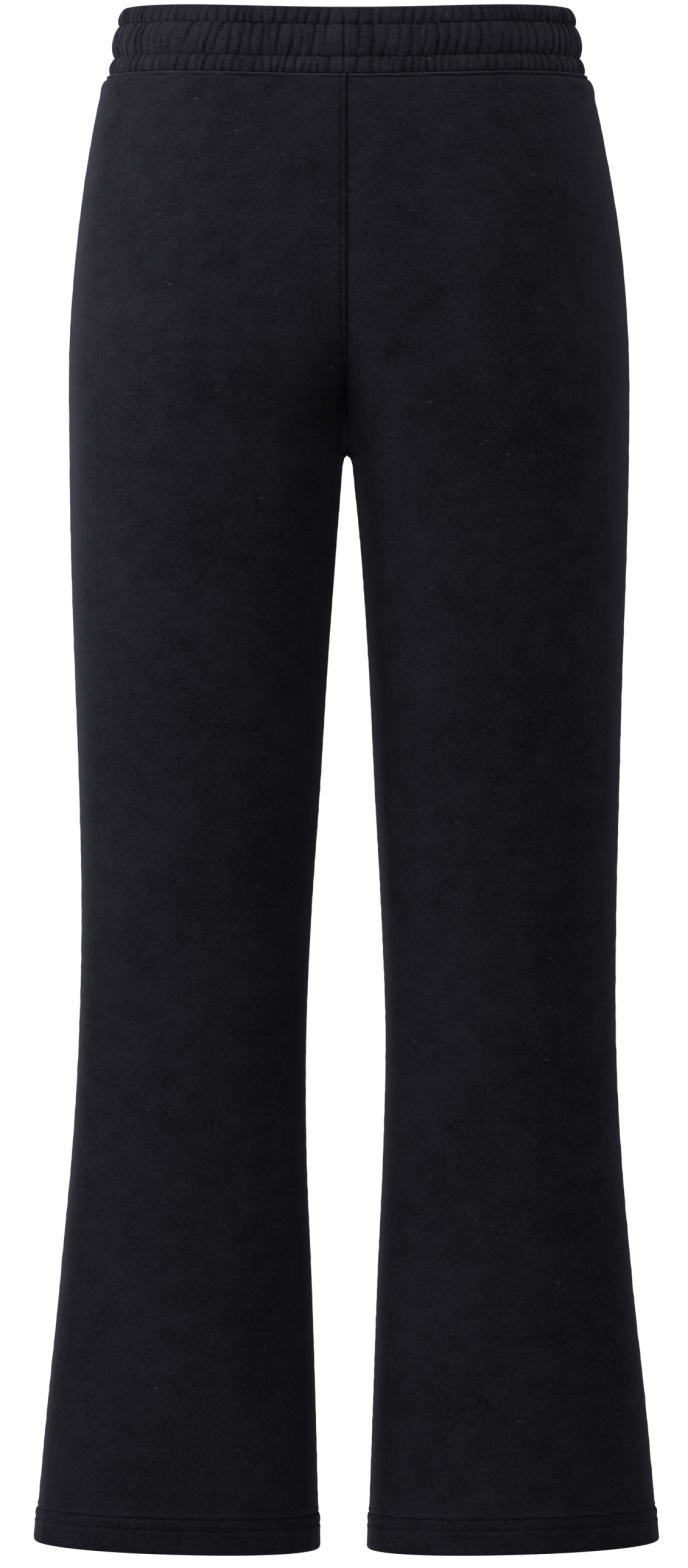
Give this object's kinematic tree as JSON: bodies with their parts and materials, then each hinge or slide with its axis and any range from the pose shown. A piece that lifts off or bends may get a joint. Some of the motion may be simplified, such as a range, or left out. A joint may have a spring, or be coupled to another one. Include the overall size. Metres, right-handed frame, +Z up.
{
  "type": "flared sweatpants",
  "caption": "Flared fleece sweatpants, filled out and hollow, with a gathered elastic waistband, straight thighs, bootcut legs and twin-stitched hems.",
  "frame": {"origin": "middle of the waist opening, at half the waistband's height", "axes": "+Z up, +Y towards the wearer's front, -X towards the wearer's left"},
  "size_m": [0.4322, 0.2435, 1.0609],
  "materials": {
    "fleece": "soft matt fleece, near black, finely mottled",
    "waistband_fleece": "the same fleece, gathered over elastic"
  },
  "bodies": {
    "root": {"waistband": "waistband_fleece", "back_panel_left": "fleece", "front_panel_left": "fleece", "back_panel_right": "fleece", "front_panel_right": "fleece", "hem_left": "fleece", "hem_right": "fleece"}
  },
  "joints": []
}
